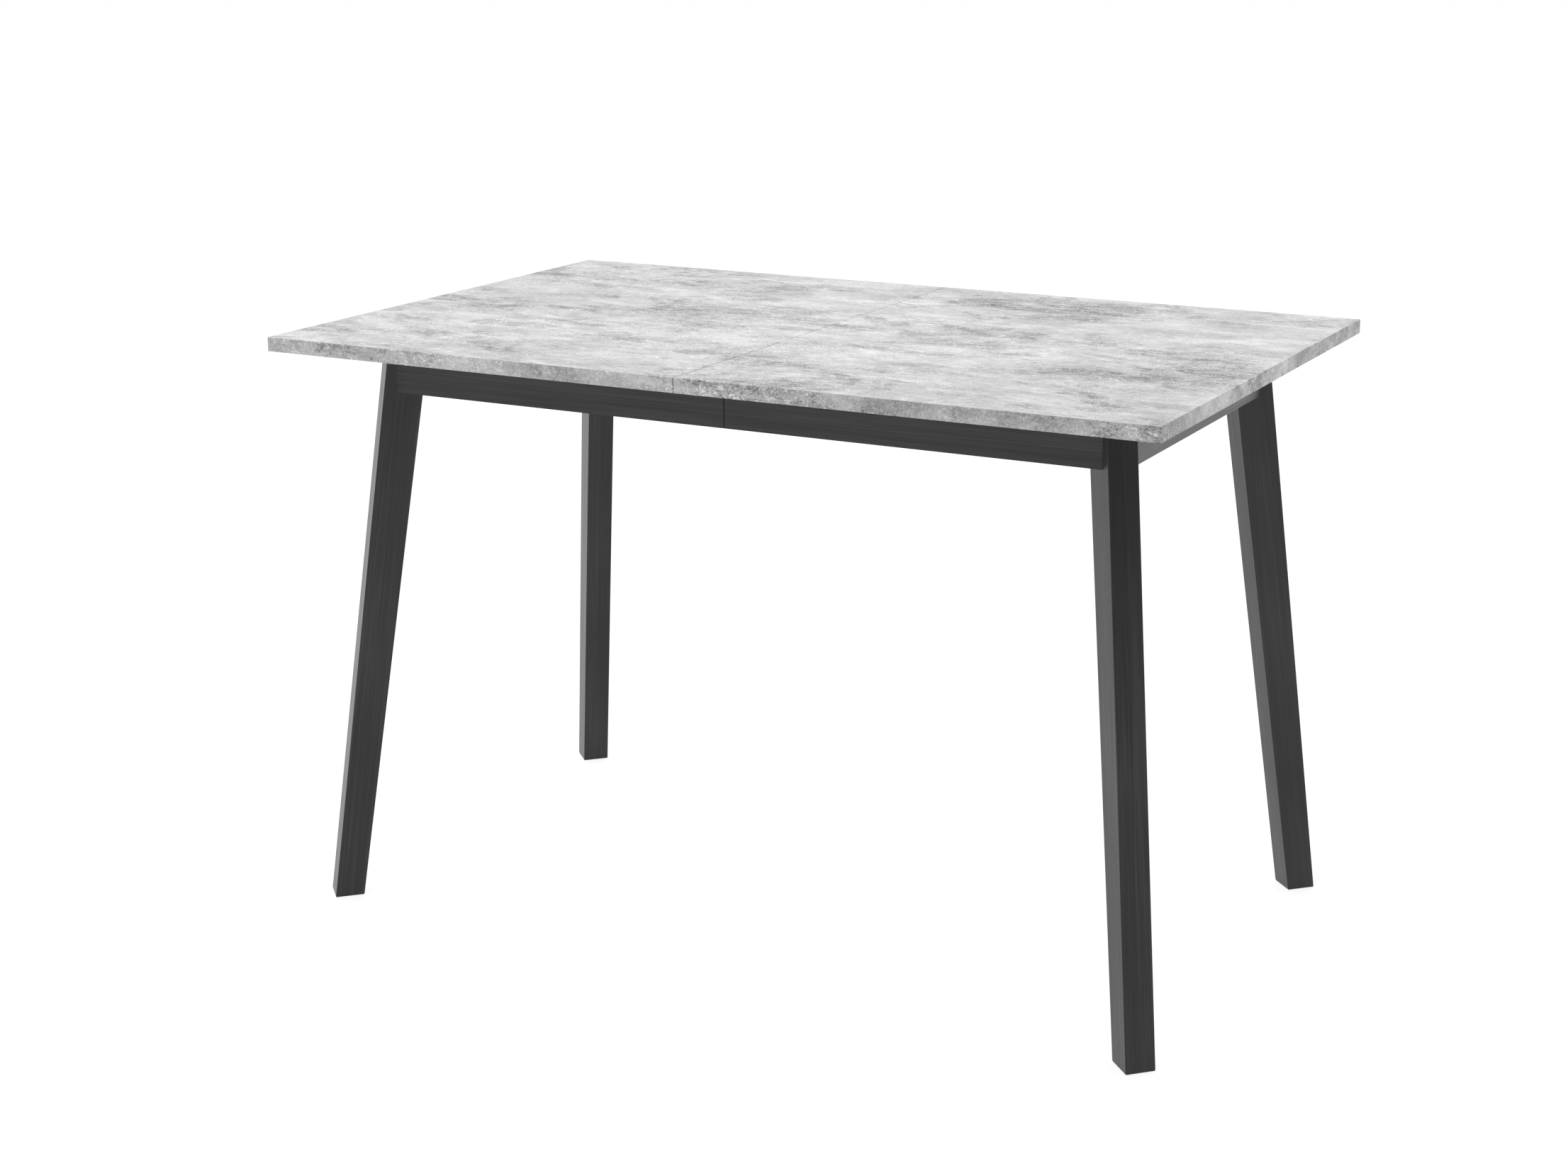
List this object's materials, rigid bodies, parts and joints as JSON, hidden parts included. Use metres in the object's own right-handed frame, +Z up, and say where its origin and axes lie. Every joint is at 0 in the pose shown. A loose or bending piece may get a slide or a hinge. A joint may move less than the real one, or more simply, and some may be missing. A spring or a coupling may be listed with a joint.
{
  "type": "extendable dining table",
  "caption": "Rectangular extendable dining table: half tops that part on synchronised slides, a stored folding leaf, splayed tapered legs set at 45 degrees.",
  "frame": {"origin": "on the floor, under the middle of the closed table", "axes": "+X along the table towards the half that slides out, +Y from the front long side to the back, +Z up"},
  "size_m": [1.18, 0.75, 0.76],
  "materials": {
    "decor_board": "melamine-faced chipboard, light grey trowelled concrete decor, matte",
    "edge_band": "thin plastic edge band in the same decor, a little darker",
    "black_wood": "solid beech stained black, satin lacquer, fine grain",
    "plain_wood": "untreated beech",
    "zinc_steel": "zinc-plated steel",
    "slide_aluminium": "extruded aluminium, mill finish",
    "nylon": "natural nylon",
    "felt": "grey felt",
    "brass": "plain brass"
  },
  "bodies": {
    "left_half": {"left_top": "decor_board", "left_edge_band": "edge_band", "left_front_apron": "black_wood", "left_back_apron": "black_wood", "left_end_apron": "black_wood", "front_left_leg": "black_wood", "back_left_leg": "black_wood", "left_corner_blocks": "plain_wood", "left_leg_bolts": "zinc_steel", "left_leg_washers": "zinc_steel", "left_leg_nuts": "zinc_steel", "left_frame_screws": "zinc_steel", "left_front_channel": "slide_aluminium", "left_back_channel": "slide_aluminium", "left_slide_screws": "zinc_steel", "left_rack": "nylon", "left_rack_hanger": "zinc_steel", "left_rack_screws": "zinc_steel", "latch_plates": "zinc_steel", "latch_pivots": "zinc_steel", "latch_screws": "zinc_steel"},
    "right_half": {"right_top": "decor_board", "right_edge_band": "edge_band", "right_front_apron": "black_wood", "right_back_apron": "black_wood", "right_end_apron": "black_wood", "front_right_leg": "black_wood", "back_right_leg": "black_wood", "right_corner_blocks": "plain_wood", "right_leg_bolts": "zinc_steel", "right_leg_washers": "zinc_steel", "right_leg_nuts": "zinc_steel", "right_frame_screws": "zinc_steel", "right_front_channel": "slide_aluminium", "right_back_channel": "slide_aluminium", "right_slide_screws": "zinc_steel", "right_rack": "nylon", "right_rack_hanger": "zinc_steel", "right_rack_screws": "zinc_steel", "keeper_studs": "zinc_steel", "keeper_screws": "zinc_steel", "seam_dowels": "plain_wood"},
    "leaf_carrier": {"slide_bars": "slide_aluminium", "glide_pads": "nylon", "left_batten": "plain_wood", "middle_batten": "plain_wood", "right_batten": "plain_wood", "batten_screws": "zinc_steel", "felt_pads": "felt", "pinion_axle": "zinc_steel", "rack_guides": "zinc_steel", "lower_leaf_panel": "decor_board", "upper_leaf_panel": "decor_board", "leaf_edge_bands": "edge_band", "leaf_hinges": "brass", "leaf_dowels": "plain_wood"},
    "pinion": {"sync_pinion": "nylon"},
    "front_latch": {"front_latch_hook": "zinc_steel"},
    "back_latch": {"back_latch_hook": "zinc_steel"}
  },
  "joints": [
    {"name": "right_half_slide", "type": "slide", "parent": "left_half", "child": "right_half", "axis": [1, 0, 0], "range_m": [0, 0.4]},
    {"name": "leaf_carrier_slide", "type": "slide", "parent": "left_half", "child": "leaf_carrier", "axis": [1, 0, 0], "range_m": [0, 0.2]},
    {"name": "pinion_turn", "type": "hinge", "parent": "leaf_carrier", "child": "pinion", "pos_m": [0, 0, 0.684], "axis": [0, 0, 1], "range_deg": [0, 637]},
    {"name": "front_latch_turn", "type": "hinge", "parent": "left_half", "child": "front_latch", "pos_m": [-0.032, -0.325, 0.739], "axis": [0, 0, -1], "range_deg": [0, 90]},
    {"name": "back_latch_turn", "type": "hinge", "parent": "left_half", "child": "back_latch", "pos_m": [-0.032, 0.325, 0.739], "axis": [0, 0, 1], "range_deg": [0, 90]}
  ],
  "couplings": [
    {"joint": "leaf_carrier_slide", "follows": "right_half_slide", "ratio": 0.5},
    {"joint": "pinion_turn", "follows": "right_half_slide", "rad_per_m": 27.778}
  ]
}
